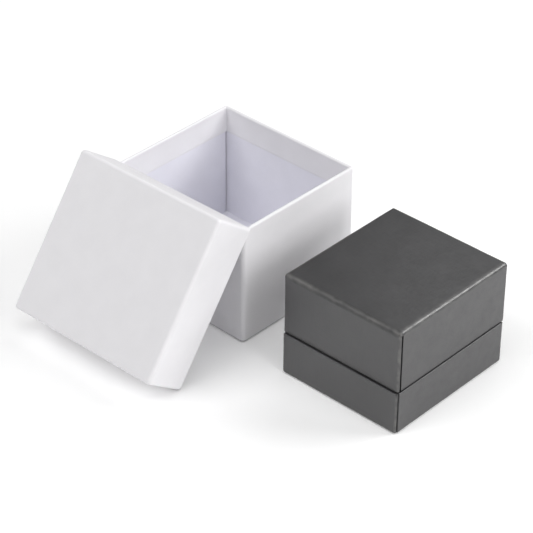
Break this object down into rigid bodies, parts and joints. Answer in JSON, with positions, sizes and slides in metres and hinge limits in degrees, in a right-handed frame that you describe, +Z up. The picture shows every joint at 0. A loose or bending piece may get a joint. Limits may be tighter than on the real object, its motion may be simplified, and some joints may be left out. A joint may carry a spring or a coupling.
{
  "type": "jewelry gift box",
  "caption": "Leatherette ring box with a spring-hinged lid and slotted ring pad, beside its open rigid paper carton, whose lift-off lid leans on the tray.",
  "frame": {"origin": "centre of the carton tray's underside", "axes": "+Z up, +X along the ring box's front, +Y towards the ring box's hinge"},
  "size_m": [0.13, 0.1025, 0.0568],
  "materials": {
    "wrap_paper": "uncoated white covering paper",
    "board": "matte white-lined board",
    "corner_tape": "matte paper tape",
    "leatherette": "satin brushed-grain leatherette",
    "shell_plastic": "matte",
    "base_paper": "matte black paper",
    "velvet": "velvet",
    "pad_card": "matte grey card",
    "satin": "satin",
    "spring_steel": "bright"
  },
  "bodies": {
    "carton_tray": {"carton_tray_wrap": "wrap_paper", "carton_tray_board": "board", "carton_tray_corner_stay_1": "corner_tape", "carton_tray_corner_stay_2": "corner_tape", "carton_tray_corner_stay_3": "corner_tape", "carton_tray_corner_stay_4": "corner_tape"},
    "carton_lid": {"carton_lid_wrap": "wrap_paper", "carton_lid_board": "board", "carton_lid_corner_stay_1": "corner_tape", "carton_lid_corner_stay_2": "corner_tape", "carton_lid_corner_stay_3": "corner_tape", "carton_lid_corner_stay_4": "corner_tape"},
    "ring_box_base": {"ring_box_base_sheet": "base_paper", "ring_box_base_cover": "leatherette", "ring_box_base_shell": "shell_plastic", "ring_box_base_lining": "velvet", "ring_pad_card": "pad_card", "ring_pad_front": "velvet", "ring_pad_rear": "velvet", "hinge_base_leaf": "spring_steel", "hinge_base_rivet_1": "spring_steel", "hinge_base_rivet_2": "spring_steel", "hinge_pin": "spring_steel", "hinge_spring": "spring_steel"},
    "ring_box_lid": {"ring_box_lid_cover": "leatherette", "ring_box_lid_shell": "shell_plastic", "ring_box_lid_lining": "satin", "ring_box_lid_pad_card": "pad_card", "ring_box_lid_pad": "satin", "hinge_lid_leaf": "spring_steel", "hinge_lid_rivet_1": "spring_steel", "hinge_lid_rivet_2": "spring_steel"}
  },
  "joints": [
    {"name": "carton_lid_lift", "type": "slide", "parent": "carton_tray", "child": "carton_lid", "axis": [0, 0, 1], "range_m": [0, 0.06]},
    {"name": "ring_box_lift", "type": "slide", "parent": "carton_tray", "child": "ring_box_base", "axis": [0, 0, 1], "range_m": [0, 0.06]},
    {"name": "ring_box_lid_hinge", "type": "hinge", "parent": "ring_box_base", "child": "ring_box_lid", "pos_m": [0.07438, 0.02465, 0.01597], "axis": [-1, -0.0044, 0], "range_deg": [0, 95]}
  ]
}
